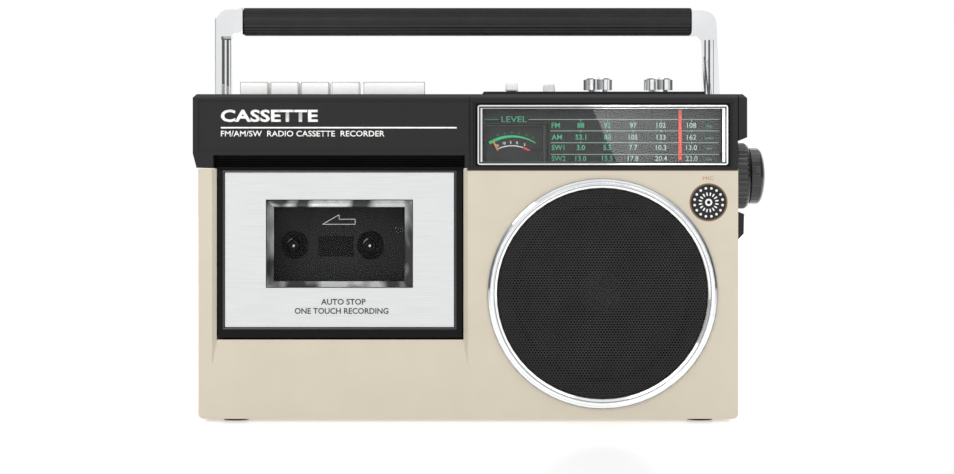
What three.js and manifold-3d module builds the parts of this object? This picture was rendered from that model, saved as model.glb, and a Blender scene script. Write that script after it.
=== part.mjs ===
// A portable radio and cassette recorder, built from its separate pieces.
// Millimetres, +Z up. X runs to the right seen from the front, and the front faces -Y.

import * as THREE from 'three';
import { mergeVertices } from 'three/addons/utils/BufferGeometryUtils.js';
import Module from 'manifold-3d';

const wasm = await Module();
wasm.setup();

// Driving dimensions. X and Y start at the middle of the cabinet, Z at the floor.

const cabinet = { halfWidth: 150, front: -45, rear: 45, bottom: 1.5, top: 140.5, wall: 2.6, split: 5 };
const cover = { left: -153.1, right: 149.9, bottom: 141, top: 182, wall: 2.2, edge: 2 };
const plateau = { left: 9, right: 133, front: -31, rear: 38, top: 183.9 };
const pod = { inner: 150.3, outer: 155, bottom: 98.9, chamfer: 5.2 };

const bay = { left: -140, right: -2.6, bottom: 45.3, wall: 2.4, rear: -20 };
const scoop = { left: -142.4, right: -0.2, depth: 2.8, bottom: 31.4, rise: 14.2 };
const recess = { left: -141.7, right: -1.9, top: 148.1, rear: -38 };

const door = { left: -139.2, right: -3.4, bottom: 46.4, top: 139.6, front: -42.5, rear: -38.2 };
const doorHinge = { y: -39.5, z: 50, radius: 1.4 };
const plate = { left: -135.4, right: -7.9, bottom: 52.3, top: 138.8, thickness: 1.8 };
const pane = { left: -112.3, right: -31.1, bottom: 74.5, top: 123, bevel: 4.2, rise: 1.2 };
const tape = { left: -126.6, right: -26.2, bottom: 68.5, front: -37.8, rear: -25 };

const deck = { front: -22.5, rear: -20.6, top: 154 };
const hub = { supply: -55.15, takeup: -97.65, z: 97.3, radius: 3.8, table: 7 };
const capstan = { x: -105.4, z: 124.3, radius: 1.1, flywheel: 24 };
const motor = { x: -36, z: 124, radius: 13, pulley: 4.5 };
const roller = { x: capstan.x, z: 139.3, radius: 6, pivotX: -122, pivotZ: 135.6 };

const speaker = { x: 74.6, z: 71.1, ring: 63.9, opening: 58.8 };
const mic = { x: 133.5, z: 121.8, radius: 9.8 };

const dial = { left: 7.8, right: 141.1, bottom: 144.3, top: 173.9, border: 2.6 };
const meter = { left: 8.3, right: 43.9, bottom: 130.2, top: 166.5, pivotX: 24.5, pivotZ: 134.6 };
const needle = { length: 23.3, lean: 26.2 };
const pointer = { x: 118.2, width: 1.8 };

const keyRow = { left: -127.7, pitch: 17.1, narrow: 15.5, wide: 34.4, front: -34.5, rear: -8, top: 189.3 };
const keyShaft = { y: -1, z: 174, radius: 1.8 };

const rotaryKnob = { y: -13, radius: 8.15, bottom: 185.3, top: 191.2, flutes: 14 };
const volumeX = 74.2;
const toneX = 108.6;
const switchKnob = { width: 7.2, depth: 8, top: 189.4, slot: 3, travel: 14 };
const functionSwitch = { x: 24.7, y: -25 };
const bandSwitch = { x: 47.3, y: 8 };

const tuning = { y: -5, z: 136.5, ring: 18.7, ringEnd: 160.7, knob: 15.9, knobEnd: 169.9, shaft: 2.5 };

const handle = {
  outer: 144.6, width: 9, halfDepth: 11.5, y: 2.5, pivotZ: 172, top: 233.1, corner: 8, bevel: 5.2, rim: 1.2,
};
const grip = { halfLength: 128, height: 15.8, halfDepth: 11, ribs: 26 };
const channel = { inner: 134.9, outer: 145.3, front: -9.9, floor: 159.6, wall: 1.5 };

const battery = { left: -132, right: -4, bottom: 5.5, top: 75.3, front: 8, wall: 1.8 };
const inlet = { left: 58, right: 80, bottom: 14, top: 30 };

const antenna = { x: 124, y: 49.8, z: 150, radius: 2.6, length: 150 };

// The whole object is shifted so that its origin is under the middle of its bounding box.
const shift = { x: -8.4, y: -2.6 };

const finishes = {
  beige: { color: 0xd9d0bc, roughness: 0.5, metalness: 0 },
  black: { color: 0x2b2b2b, roughness: 0.5, metalness: 0 },
  glossBlack: { color: 0x151515, roughness: 0.2, metalness: 0 },
  chrome: { color: 0xd5d8da, roughness: 0.12, metalness: 1 },
  silver: { color: 0xdfe1e2, roughness: 0.35, metalness: 0.8 },
  ivory: { color: 0xe6e6e2, roughness: 0.35, metalness: 0 },
  clear: { color: 0xcfd3d4, roughness: 0.08, metalness: 0 },
  steel: { color: 0xa8abad, roughness: 0.4, metalness: 1 },
  brass: { color: 0xc2a35a, roughness: 0.35, metalness: 1 },
  red: { color: 0xc63a22, roughness: 0.4, metalness: 0 },
  orange: { color: 0xe8792c, roughness: 0.4, metalness: 0 },
  green: { color: 0x3f6b4a, roughness: 0.6, metalness: 0 },
  paper: { color: 0x24221f, roughness: 0.9, metalness: 0 },
  rubber: { color: 0x1b1b1b, roughness: 0.9, metalness: 0 },
};

// Basis vectors that turn a shape drawn flat, and extruded or spun, towards each axis.
const turned = {
  x: new THREE.Matrix4().makeBasis(axis(0, 1, 0), axis(0, 0, 1), axis(1, 0, 0)),
  y: new THREE.Matrix4().makeBasis(axis(1, 0, 0), axis(0, 0, 1), axis(0, -1, 0)),
  z: new THREE.Matrix4(),
};
const spun = {
  x: new THREE.Matrix4().makeBasis(axis(0, 0, 1), axis(1, 0, 0), axis(0, 1, 0)),
  y: new THREE.Matrix4(),
  z: new THREE.Matrix4().makeBasis(axis(1, 0, 0), axis(0, 0, 1), axis(0, -1, 0)),
};

function axis(x, y, z) {
  return new THREE.Vector3(x, y, z);
}

// Turns a closed three.js geometry into a solid that can be joined and cut.
function solid(geometry) {
  const bare = geometry.clone();
  bare.deleteAttribute('normal');
  bare.deleteAttribute('uv');
  const merged = mergeVertices(bare, 1e-4);
  const corners = merged.index.array;
  const triangles = [];
  for (let i = 0; i < corners.length; i += 3) {
    const [a, b, c] = [corners[i], corners[i + 1], corners[i + 2]];
    if (a !== b && b !== c && c !== a) triangles.push(a, b, c);
  }
  const build = (triVerts) =>
    new wasm.Manifold(
      new wasm.Mesh({
        numProp: 3,
        vertProperties: Float32Array.from(merged.attributes.position.array),
        triVerts: Uint32Array.from(triVerts),
      }),
    );
  const shape = build(triangles);
  return shape.volume() > 0 ? shape : build(triangles.reverse());
}

function box(x0, x1, y0, y1, z0, z1) {
  const geometry = new THREE.BoxGeometry(x1 - x0, y1 - y0, z1 - z0);
  return solid(geometry.translate((x0 + x1) / 2, (y0 + y1) / 2, (z0 + z1) / 2));
}

// Extrudes an outline along an axis, with its edges rounded by the rim.
// The outline's points are (y, z), (x, z) or (x, y).
function prism(direction, outline, from, to, rim = 0) {
  const shape = outline instanceof THREE.Shape ? outline : polygon(outline);
  const geometry = new THREE.ExtrudeGeometry(shape, {
    depth: to - from - 2 * rim,
    bevelEnabled: rim > 0,
    bevelThickness: rim,
    bevelSize: rim,
    bevelOffset: -rim,
    bevelSegments: 2,
    curveSegments: 6,
  });
  geometry.applyMatrix4(turned[direction]);
  const start = { x: [from + rim, 0, 0], y: [0, to - rim, 0], z: [0, 0, from + rim] }[direction];
  return solid(geometry.translate(...start));
}

function polygon(points) {
  return new THREE.Shape(points.map(([u, v]) => new THREE.Vector2(u, v)));
}

// Spins a closed profile of (radius, place along the axis) about an axis through a centre.
function spin(direction, profile, [x, y, z], segments = 32) {
  const closed = profile[0][0] === 0 ? profile : [...profile, profile[0]];
  const points = closed.map(([r, t]) => new THREE.Vector2(r, t));
  const geometry = new THREE.LatheGeometry(points, segments);
  return solid(geometry.applyMatrix4(spun[direction]).translate(x, y, z));
}

function rod(direction, radius, from, to, centre, segments = 24) {
  return spin(direction, [[0, from], [radius, from], [radius, to], [0, to]], centre, segments);
}

function roundedRectangle(u0, u1, v0, v1, radius) {
  const shape = new THREE.Shape();
  shape.moveTo(u0 + radius, v0);
  shape.lineTo(u1 - radius, v0);
  shape.absarc(u1 - radius, v0 + radius, radius, -Math.PI / 2, 0);
  shape.absarc(u1 - radius, v1 - radius, radius, 0, Math.PI / 2);
  shape.absarc(u0 + radius, v1 - radius, radius, Math.PI / 2, Math.PI);
  shape.absarc(u0 + radius, v0 + radius, radius, Math.PI, 1.5 * Math.PI);
  return shape;
}

// A round outline with evenly spaced flutes cut into its edge.
function fluted(radius, depth, flutes, u = 0, v = 0, steps = 4) {
  const points = [];
  for (let i = 0; i < flutes * steps; i++) {
    const angle = (2 * Math.PI * i) / (flutes * steps);
    const r = radius - (depth / 2) * (1 - Math.cos(flutes * angle));
    points.push([u + r * Math.cos(angle), v + r * Math.sin(angle)]);
  }
  return points;
}

const radians = THREE.MathUtils.degToRad;

const model = new THREE.Group();
model.position.set(shift.x, shift.y, 0);

// Adds one named piece of the object.
function piece(name, shape, finish) {
  const mesh = shape.getMesh();
  const geometry = new THREE.BufferGeometry();
  geometry.setAttribute('position', new THREE.BufferAttribute(Float32Array.from(mesh.vertProperties), 3));
  geometry.setIndex(Array.from(mesh.triVerts));
  const flat = geometry.toNonIndexed();
  flat.computeVertexNormals();
  const made = new THREE.Mesh(flat, new THREE.MeshStandardMaterial(finishes[finish]));
  made.name = name;
  model.add(made);
}

// The scooped area round the cassette door: 45 degree sides and a sloping sill.
function scoopCut() {
  const { front } = cabinet;
  const floor = front + scoop.depth;
  const sill = scoop.bottom + scoop.rise;
  const slope = [
    [front - 1, scoop.bottom], [front, scoop.bottom], [floor, sill], [floor, 145], [front - 1, 145],
  ];
  const flare = [
    [scoop.left, front - 1],
    [scoop.left, front],
    [scoop.left + scoop.depth, floor],
    [scoop.right - scoop.depth, floor],
    [scoop.right, front],
    [scoop.right, front - 1],
  ];
  return prism('x', slope, scoop.left, scoop.right).intersect(prism('z', flare, 20, 145));
}

function cabinetOutline() {
  const { halfWidth, bottom, top } = cabinet;
  const radius = 2.8;
  const shape = new THREE.Shape();
  shape.moveTo(-halfWidth, top);
  shape.lineTo(-halfWidth, bottom + radius);
  shape.absarc(-halfWidth + radius, bottom + radius, radius, Math.PI, 1.5 * Math.PI);
  shape.absarc(halfWidth - radius, bottom + radius, radius, -Math.PI / 2, 0);
  shape.lineTo(halfWidth, top);
  return shape;
}

function frontCabinet() {
  const { front, split, wall, bottom, top } = cabinet;
  const side = cabinet.halfWidth - wall;
  const hinge = [0, doorHinge.y, doorHinge.z];
  const tunnel = box(bay.left - bay.wall, bay.right + bay.wall, front + 1, bay.rear, bay.bottom - 2.3, top);
  const sill = box(scoop.left, scoop.right, front + 1, front + 7, scoop.bottom - 4, bay.bottom);
  return prism('y', cabinetOutline(), front, split)
    .subtract(box(-side, side, front + 3, split + 1, bottom + wall, top + 1))
    .add(tunnel)
    .add(sill)
    .subtract(scoopCut())
    .subtract(box(bay.left, bay.right, front - 1, bay.rear + 1, bay.bottom, top + 1))
    .subtract(rod('x', doorHinge.radius + 0.4, bay.left - 4, bay.right + 4, hinge, 16))
    .subtract(rod('y', speaker.opening, front - 1, front + 4, [speaker.x, 0, speaker.z], 56))
    .subtract(rod('y', mic.radius - 1.6, front - 1, front + 4, [mic.x, 0, mic.z]))
    .subtract(rod('x', tuning.shaft + 0.6, side - 1, side + 4, [0, tuning.y, tuning.z]));
}

function rearCabinet() {
  const { rear, split, wall, bottom, top } = cabinet;
  const side = cabinet.halfWidth - wall;
  const thick = battery.wall;
  const compartment = box(
    battery.left - thick, battery.right + thick, battery.front - thick, rear - 1,
    bottom + 1, battery.top + thick,
  );
  const socket = box(
    inlet.left - 0.3, inlet.right + 0.3, rear - 5, rear + 1, inlet.bottom - 0.3, inlet.top + 0.3,
  );
  return prism('y', cabinetOutline(), split + 0.3, rear)
    .subtract(box(-side, side, split - 1, rear - wall, bottom + wall, top + 1))
    .add(compartment)
    .subtract(box(battery.left, battery.right, battery.front, rear + 1, battery.bottom, battery.top))
    .subtract(socket);
}

function topCover() {
  const { front, rear } = cabinet;
  const { left, right, bottom, top, wall, edge } = cover;
  const across = [
    [left + 2.1, bottom], [left, bottom + 8], [left, top - edge],
    [left + edge, top], [right, top], [right, bottom],
  ];
  const along = [
    [front, bottom], [front, top - edge], [front + edge, top],
    [rear - edge, top], [rear, top - edge], [rear, bottom],
  ];
  const raised = [
    [plateau.left - 2, top - 1], [plateau.left, plateau.top],
    [plateau.right, plateau.top], [plateau.right, top - 1],
  ];
  let shell = prism('y', across, front, rear).intersect(prism('x', along, left - 1, right + 1));
  shell = shell.add(prism('y', raised, plateau.front, plateau.rear));
  shell = shell.subtract(box(left + 2.4, right - wall, front + 2.4, rear - wall, bottom - 1, top - wall));
  const recessWall = 1.6;
  shell = shell
    .add(box(
      recess.left - recessWall, recess.right + recessWall,
      front + 2, recess.rear + recessWall, bottom, recess.top + recessWall,
    ))
    .subtract(box(recess.left, recess.right, front - 1, recess.rear, bottom - 1, recess.top));
  for (const way of [-1, 1]) shell = handleChannel(shell, way);
  const inset = 0.8;
  const keysRight = keyRow.left + 4 * keyRow.pitch + keyRow.wide + 0.7;
  shell = shell
    .subtract(box(left + 3, 0.6, front - 1, front + inset, recess.top + 2, 178.4))
    .subtract(box(0.6, 1.4, front - 1, front + inset, bottom - 1, top + 1))
    .subtract(box(dial.left, dial.right, front - 1, front + 3, dial.bottom, dial.top))
    .subtract(box(keyRow.left - 0.9, keysRight, keyRow.front - 2, keyRow.rear + 2.5, 178, top + 1));
  for (const { x, y } of [functionSwitch, bandSwitch]) {
    const reach = (switchKnob.travel + 5) / 2;
    const half = switchKnob.slot / 2;
    shell = shell.subtract(box(x - reach, x + reach, y - half, y + half, 178, plateau.top + 1));
  }
  for (const x of [volumeX, toneX]) {
    shell = shell.subtract(rod('z', 3.6, 178, plateau.top + 1, [x, rotaryKnob.y, 0]));
  }
  return shell.subtract(rod('y', 3.4, rear - 4, rear + 1, [antenna.x, 0, antenna.z]));
}

// A slot in the top cover, open at the rear, that an arm of the handle folds back into.
function handleChannel(shell, way) {
  const span = (a, b) => (way > 0 ? [a, b] : [-b, -a]);
  const { inner, outer, front, floor, wall } = channel;
  const outside = way > 0 ? cover.right - 1 : outer + 3;
  const walls = span(inner - wall, outside);
  return shell
    .add(box(...walls, front - wall, cabinet.rear - 1, floor - wall, cover.top - 0.5))
    .subtract(box(...span(inner, outer), front, cabinet.rear + 1, floor, plateau.top + 1))
    .subtract(rod('x', 2.7, ...span(inner - 3, outer + 1.8), [0, handle.y, handle.pivotZ], 20));
}

function sidePod() {
  const { inner, outer, bottom, chamfer } = pod;
  const { front, rear } = cabinet;
  const { top, edge } = cover;
  const outline = [
    [front, cover.bottom], [tuning.y - 30, cover.bottom - 3], [tuning.y - 25, bottom],
    [tuning.y + 25, bottom], [tuning.y + 30, cover.bottom - 3], [rear, cover.bottom],
    [rear, top - edge], [rear - edge, top], [front + edge, top], [front, top - edge],
  ];
  const section = [
    [inner, bottom], [outer, bottom + chamfer], [outer, top - 2.3], [outer - 2.3, top], [inner, top],
  ];
  // The front of the pod is open before the tuning ring, with slanted ends.
  const { y, z, ring } = tuning;
  const reach = ring + 0.8;
  const depth = outer - inner;
  const mouth = [
    [inner - 1, z - reach], [inner, z - reach], [outer + 1, z - reach - depth / 2],
    [outer + 1, z + reach + depth / 2], [inner, z + reach], [inner - 1, z + reach],
  ];
  return prism('x', outline, inner, outer)
    .intersect(prism('y', section, front - 1, rear + 1))
    .subtract(prism('y', mouth, front - 1, y))
    .subtract(rod('x', 5.6, inner - 1, outer + 1, [0, y, z]))
    .subtract(rod('x', ring + 1.6, outer - 2.9, outer + 1, [0, y, z], 48));
}

function casing() {
  piece('front_cabinet', frontCabinet(), 'beige');
  piece('rear_cabinet', rearCabinet(), 'beige');
  piece('top_cover', topCover(), 'black');
  piece('side_pod', sidePod(), 'black');
  for (const [endName, y] of [['front', -32], ['rear', 32]]) {
    for (const [sideName, x] of [['left', -130], ['right', 130]]) {
      piece(`foot_${endName}_${sideName}`, rod('z', 7, 0, cabinet.bottom, [x, y, 0], 20), 'rubber');
    }
  }
}

// One arm stands on a pin through the top cover and turns in at the top to hold the grip.
function handleArm(way) {
  const { outer, width, halfDepth, y, pivotZ, top, corner: turn, bevel, rim } = handle;
  const inner = outer - width;
  const gripBottom = top - grip.height;
  const gripEnd = grip.halfLength + 0.3;
  const front = new THREE.Shape();
  front.moveTo(inner, pivotZ - halfDepth);
  front.lineTo(outer, pivotZ - halfDepth);
  front.absarc(outer - turn, top - turn, turn, 0, Math.PI / 2);
  front.lineTo(gripEnd, top);
  front.lineTo(gripEnd, gripBottom);
  front.lineTo(inner - 3, gripBottom);
  front.lineTo(inner, gripBottom - 3);
  const side = new THREE.Shape();
  side.moveTo(-halfDepth, top + 1);
  side.absarc(0, pivotZ, halfDepth, Math.PI, 2 * Math.PI);
  side.lineTo(halfDepth, top + 1);
  let arm = prism('y', front, -halfDepth, halfDepth, rim).intersect(prism('x', side, 0, outer + 1));
  for (const face of [-1, 1]) {
    const edge = [
      [inner - 1, face * (halfDepth + 1)], [inner + bevel, face * (halfDepth + 1)],
      [inner + bevel, face * halfDepth], [inner, face * (halfDepth - bevel)],
      [inner - 1, face * (halfDepth - bevel)],
    ];
    arm = arm.subtract(prism('z', edge, pivotZ, gripBottom - 1));
  }
  arm = arm.add(rod('x', 2.3, channel.inner - channel.wall, channel.outer + 1.5, [0, 0, pivotZ], 16));
  return (way > 0 ? arm : arm.rotate([0, 0, 180])).translate([0, y, 0]);
}

// The grip's section is a rounded bar with ribs that run its whole length.
function gripBar() {
  const points = [];
  const steps = grip.ribs * 4;
  const middle = handle.top - grip.height / 2;
  for (let i = 0; i < steps; i++) {
    const angle = (2 * Math.PI * i) / steps;
    const squareness = (value) => Math.sign(value) * Math.abs(value) ** 0.55;
    const ripple = 1 - 0.025 * (1 - Math.cos(grip.ribs * angle));
    const y = handle.y + grip.halfDepth * ripple * squareness(Math.cos(angle));
    const z = middle + (grip.height / 2) * ripple * squareness(Math.sin(angle));
    points.push([y, z]);
  }
  return prism('x', points, -grip.halfLength, grip.halfLength);
}

function carryingHandle() {
  piece('handle_arm_right', handleArm(1), 'chrome');
  piece('handle_arm_left', handleArm(-1), 'chrome');
  piece('handle_grip', gripBar(), 'rubber');
}

function tuningDial() {
  const { left, right, bottom, top, border } = dial;
  const { front } = cabinet;
  const outside = roundedRectangle(left - border, right + 3.1, bottom - 1.7, top + 1.9, 1.4);
  const frame = prism('y', outside, front - 1.3, front).subtract(box(left, right, -60, 0, bottom, top));
  piece('dial_frame', frame, 'chrome');
  const lens = box(left + 0.3, right - 0.3, front + 0.1, front + 1.7, bottom + 0.3, top - 0.3);
  piece('dial_lens', lens, 'clear');

  const plateTop = top - 2.1;
  const scale = [
    [meter.right + 0.5, bottom - 0.3], [right - 0.3, bottom - 0.3], [right - 0.3, plateTop],
    [left + 0.3, plateTop], [left + 0.3, meter.top + 0.4], [meter.right + 0.5, meter.top + 0.4],
  ];
  piece('dial_plate', prism('y', scale, -39, -38), 'glossBlack');

  const half = pointer.width / 2;
  const carriage = box(pointer.x - half, pointer.x + half, -39.6, -35.4, plateTop + 0.3, plateTop + 1.5);
  const blade = box(pointer.x - half, pointer.x + half, -40.6, -39.4, bottom + 0.9, plateTop + 1.5);
  piece('dial_pointer', blade.add(carriage), 'red');

  const post = rod('y', 0.8, -40.4, -34, [meter.pivotX, 0, meter.pivotZ], 12);
  const housing = box(meter.left, meter.right, -41.6, -33.4, meter.bottom, meter.top)
    .subtract(box(meter.left + 1.2, meter.right - 1.2, -42, -34.8, meter.bottom + 1.2, meter.top - 1.2))
    .add(post);
  piece('meter_housing', housing, 'glossBlack');
  const leaning = box(-0.4, 0.4, -39.5, -38.7, 1.8, needle.length)
    .rotate([0, -needle.lean, 0])
    .translate([meter.pivotX, 0, meter.pivotZ]);
  const bearing = rod('y', 2.4, -39.7, -38.5, [meter.pivotX, 0, meter.pivotZ], 16);
  const bore = rod('y', 1.1, -41, -37, [meter.pivotX, 0, meter.pivotZ], 12);
  piece('meter_needle', leaning.add(bearing).subtract(bore), 'orange');
}

function loudspeaker() {
  const centre = [speaker.x, 0, speaker.z];
  const face = cabinet.front;
  const ring = [
    [speaker.opening + 0.1, face], [speaker.opening + 0.1, face - 1.5], [60.4, face - 2.2],
    [61.2, face - 1.1], [62, face - 1.1], [62.6, face - 1.7], [speaker.ring, face - 0.9],
    [speaker.ring, face],
  ];
  piece('speaker_ring', spin('y', ring, centre, 56), 'chrome');
  piece('speaker_grille', rod('y', speaker.opening - 0.4, face + 0.1, face + 0.9, centre, 56), 'black');
  const basket = [
    [61, -41.6], [61, -39.6], [51.5, -39.6], [26, -21], [10, -21], [10, -22.4], [25, -22.4], [50, -41.6],
  ];
  piece('speaker_basket', spin('y', basket, centre, 40), 'steel');
  const cone = [
    [0, -30], [5, -29.4], [8, -28.2], [11, -27.4], [47, -42],
    [47, -41.2], [9, -25.6], [8.5, -22.6], [0, -22.6],
  ];
  piece('speaker_cone', spin('y', cone, centre, 40), 'paper');
  piece('speaker_magnet', rod('y', 26, -20.6, -6, centre, 32), 'steel');
}

function microphone() {
  const { x, z, radius } = mic;
  const face = cabinet.front;
  const profile = [
    [0, face - 0.9], [2.2, face - 0.9], [2.6, face - 0.5], [radius - 1, face - 0.5], [radius, face],
    [radius - 2, face], [radius - 2, face + 3], [0, face + 3],
  ];
  piece('mic_bezel', spin('y', profile, [x, 0, z], 40), 'black');
}

function cassetteDoor() {
  const windowCut = box(pane.left + 1, pane.right - 1, -50, -30, pane.bottom + 1, pane.top - 1);
  const plateSeat = box(plate.left - 0.2, plate.right + 0.2, -50, -40.4, plate.bottom - 0.2, plate.top + 0.2);
  const hinge = [0, doorHinge.y, doorHinge.z];
  const hingePin = rod('x', doorHinge.radius, bay.left - 1.8, bay.right + 1.8, hinge, 16)
    .subtract(box(door.left + 2, door.right - 2, -50, -30, 40, 60));
  const catchArm = box(-16, -10, -38.5, -33.2, 131, 135.5).add(box(-16, -10, -34.4, -33.2, 135, 137.4));
  const frame = box(door.left, door.right, door.front, door.rear, door.bottom, door.top)
    .subtract(plateSeat)
    .subtract(windowCut)
    .add(hingePin)
    .add(catchArm);
  piece('door_frame', frame, 'black');

  const face = box(plate.left, plate.right, -42.4, -42.4 + plate.thickness, plate.bottom, plate.top)
    .subtract(box(pane.left - 0.3, pane.right + 0.3, -50, -30, pane.bottom - 0.3, pane.top + 0.3));
  piece('door_plate', face, 'silver');

  const { left, right, bottom, top, bevel, rise } = pane;
  const back = -40.8;
  const edgeFace = -42.4;
  const crown = edgeFace - rise;
  const across = [
    [left, back], [left, edgeFace], [left + bevel, crown],
    [right - bevel, crown], [right, edgeFace], [right, back],
  ];
  const up = [
    [back, bottom], [edgeFace, bottom], [crown, bottom + 3.4],
    [crown, top - 3.8], [edgeFace, top], [back, top],
  ];
  piece('door_window', prism('z', across, bottom, top).intersect(prism('x', up, left, right)), 'clear');

  const wall = 2.6;
  const outer = { left: tape.left - 0.6 - wall, right: tape.right + 0.6 + wall, rear: tape.rear + 1.5 };
  const holder = box(outer.left, outer.right, tape.front, outer.rear, tape.bottom - 2.6, 120)
    .subtract(box(tape.left - 0.6, tape.right + 0.6, tape.front - 1, tape.rear, tape.bottom, 121))
    .subtract(box(tape.left + 8, tape.right - 8, tape.rear - 1, outer.rear + 1, tape.bottom, 121));
  piece('cassette_holder', holder, 'black');
}

function tapeSpindle(name, x) {
  const { radius, table, z } = hub;
  const profile = [
    [0, -33], [radius - 1, -33], [radius, -31.5], [radius, -24.9], [table, -24.9], [table, -22.9],
    [radius + 0.1, -22.9], [radius + 0.1, -20.2], [8, -20.2], [8, -16], [0, -16],
  ];
  let spindle = spin('y', profile, [0, 0, 0], 24);
  for (let i = 0; i < 3; i++) {
    spindle = spindle.add(box(-0.6, 0.6, -32, -24.5, radius - 1, radius + 1).rotate([0, i * 120, 0]));
  }
  piece(name, spindle.translate([x, 0, z]), 'ivory');
}

// A belt's outline runs round two pulleys that stand side by side at the same height.
function beltOutline(large, small) {
  const shape = new THREE.Shape();
  const lean = Math.acos((large - small) / (motor.x - capstan.x));
  shape.absarc(capstan.x, capstan.z, large, lean, 2 * Math.PI - lean);
  shape.absarc(motor.x, motor.z, small, -lean, lean);
  return shape;
}

function tapeDeck() {
  const holes = [[hub.supply, hub.z, 4.6], [hub.takeup, hub.z, 4.6], [capstan.x, capstan.z, 2]];
  let board = box(bay.left + 0.3, bay.right - 0.3, deck.front, deck.rear, bay.bottom + 0.3, deck.top);
  for (const [x, z, radius] of holes) board = board.subtract(rod('y', radius, -30, -10, [x, 0, z]));
  piece('deck_plate', board, 'steel');
  tapeSpindle('supply_spindle', hub.supply);
  tapeSpindle('takeup_spindle', hub.takeup);

  piece('head_plate', box(-100, -44, -24.4, -23, 134.2, 152), 'steel');
  const headCase = (x0, x1, front) =>
    prism('y', roundedRectangle(x0, x1, 134, 145, 3.5), front, -24.7);
  piece('record_play_head', headCase(-83.4, -69.4, -33), 'chrome');
  piece('erase_head', headCase(-62.5, -54.5, -32), 'ivory');

  const { x, z, radius, pivotX, pivotZ } = roller;
  const tilt = THREE.MathUtils.radToDeg(Math.atan2(z - pivotZ, x - pivotX));
  const reach = Math.hypot(z - pivotZ, x - pivotX);
  const bar = box(0, reach, -26.4, -24.9, -2, 2).rotate([0, -tilt, 0]).translate([pivotX, 0, pivotZ]);
  const arm = bar
    .add(rod('y', 3, -26.4, -22.9, [pivotX, 0, pivotZ], 20))
    .add(rod('y', 2.2, -26.4, -24.9, [x, 0, z], 20))
    .add(rod('y', 1, -34, -24.9, [x, 0, z], 12));
  piece('pinch_arm', arm, 'steel');
  const tyre = [[1.4, -33.6], [radius, -33.6], [radius, -26.8], [1.4, -26.8]];
  piece('pinch_roller', spin('y', tyre, [x, 0, z], 28), 'rubber');

  const wheel = [
    [0, -33], [capstan.radius, -33], [capstan.radius, -6], [4, -6], [4, -2], [capstan.flywheel, -2],
    [capstan.flywheel, 4], [0, 4],
  ];
  piece('flywheel', spin('y', wheel, [capstan.x, 0, capstan.z], 40), 'brass');
  piece('drive_motor', rod('y', motor.radius, -20.3, -4, [motor.x, 0, motor.z], 32), 'steel');
  const pulley = [[0, -3.6], [1, -3.6], [1, -2], [motor.pulley, -2], [motor.pulley, 4], [0, 4]];
  piece('motor_pulley', spin('y', pulley, [motor.x, 0, motor.z], 20), 'brass');
  const gap = 0.35;
  const belt = prism('y', beltOutline(capstan.flywheel + gap + 0.9, motor.pulley + gap + 0.9), 0, 2.5)
    .subtract(prism('y', beltOutline(capstan.flywheel + gap, motor.pulley + gap), -1, 4));
  piece('drive_belt', belt, 'rubber');

  const latch = box(-16, -10, -35.9, -34.2, 138.4, 153).add(box(-16, -10, -35, -26, 151, 153));
  piece('door_latch', latch, 'steel');
}

// A piano key: its cap stands above the top cover and its rear end turns on the key shaft.
function pianoKey(name, left, width) {
  const { front, rear, top } = keyRow;
  const side = new THREE.Shape();
  side.moveTo(front, 176.5);
  side.lineTo(keyShaft.y - 3, 170.6);
  side.absarc(keyShaft.y, keyShaft.z, 4, -0.75 * Math.PI, 0.5 * Math.PI);
  side.lineTo(rear, 178);
  side.lineTo(rear, top - 0.8);
  side.lineTo(rear - 0.8, top);
  side.absarc(front + 2, top - 2, 2, Math.PI / 2, Math.PI);
  const bore = rod('x', keyShaft.radius + 0.3, left - 1, left + width + 1, [0, keyShaft.y, keyShaft.z], 16);
  piece(name, prism('x', side, left, left + width).subtract(bore), 'ivory');
}

function keys() {
  const names = ['key_record', 'key_play', 'key_rewind', 'key_forward', 'key_stop_eject'];
  names.forEach((name, i) => {
    const extra = i === 4 ? 0.7 : 0;
    pianoKey(name, keyRow.left + i * keyRow.pitch + extra, i === 4 ? keyRow.wide : keyRow.narrow);
  });
  const end = keyRow.left + 4 * keyRow.pitch + keyRow.wide;
  const shaft = rod('x', keyShaft.radius, keyRow.left - 3, end + 4, [0, keyShaft.y, keyShaft.z], 16);
  piece('key_shaft', shaft, 'steel');
}

function rotary(name, x) {
  const { y, radius, bottom, top, flutes } = rotaryKnob;
  const crown = rod('z', radius - 1.2, top - 0.2, top + 0.6, [x, y, 0]);
  const skirt = rod('z', 5.6, plateau.top + 0.4, bottom + 0.5, [x, y, 0]);
  const spindle = rod('z', 3, 172, bottom, [x, y, 0]);
  const grippy = prism('z', fluted(radius, 1.1, flutes, x, y), bottom, top);
  piece(name, grippy.add(crown).add(skirt).add(spindle), 'chrome');
}

function slideKnob(name, { x, y }) {
  const { width, depth, top, slot } = switchKnob;
  const cap = [
    [x - width / 2, plateau.top + 0.4], [x - width / 2 + 0.5, top], [x + width / 2 - 0.5, top],
    [x + width / 2, plateau.top + 0.4],
  ];
  const stem = box(x - 2, x + 2, y - slot / 2 + 0.4, y + slot / 2 - 0.4, 173, plateau.top + 1);
  piece(name, prism('y', cap, y - depth / 2, y + depth / 2).add(stem), 'ivory');
}

function topControls() {
  rotary('volume_knob', volumeX);
  rotary('tone_knob', toneX);
  slideKnob('function_switch_knob', functionSwitch);
  slideKnob('band_switch_knob', bandSwitch);
}

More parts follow.
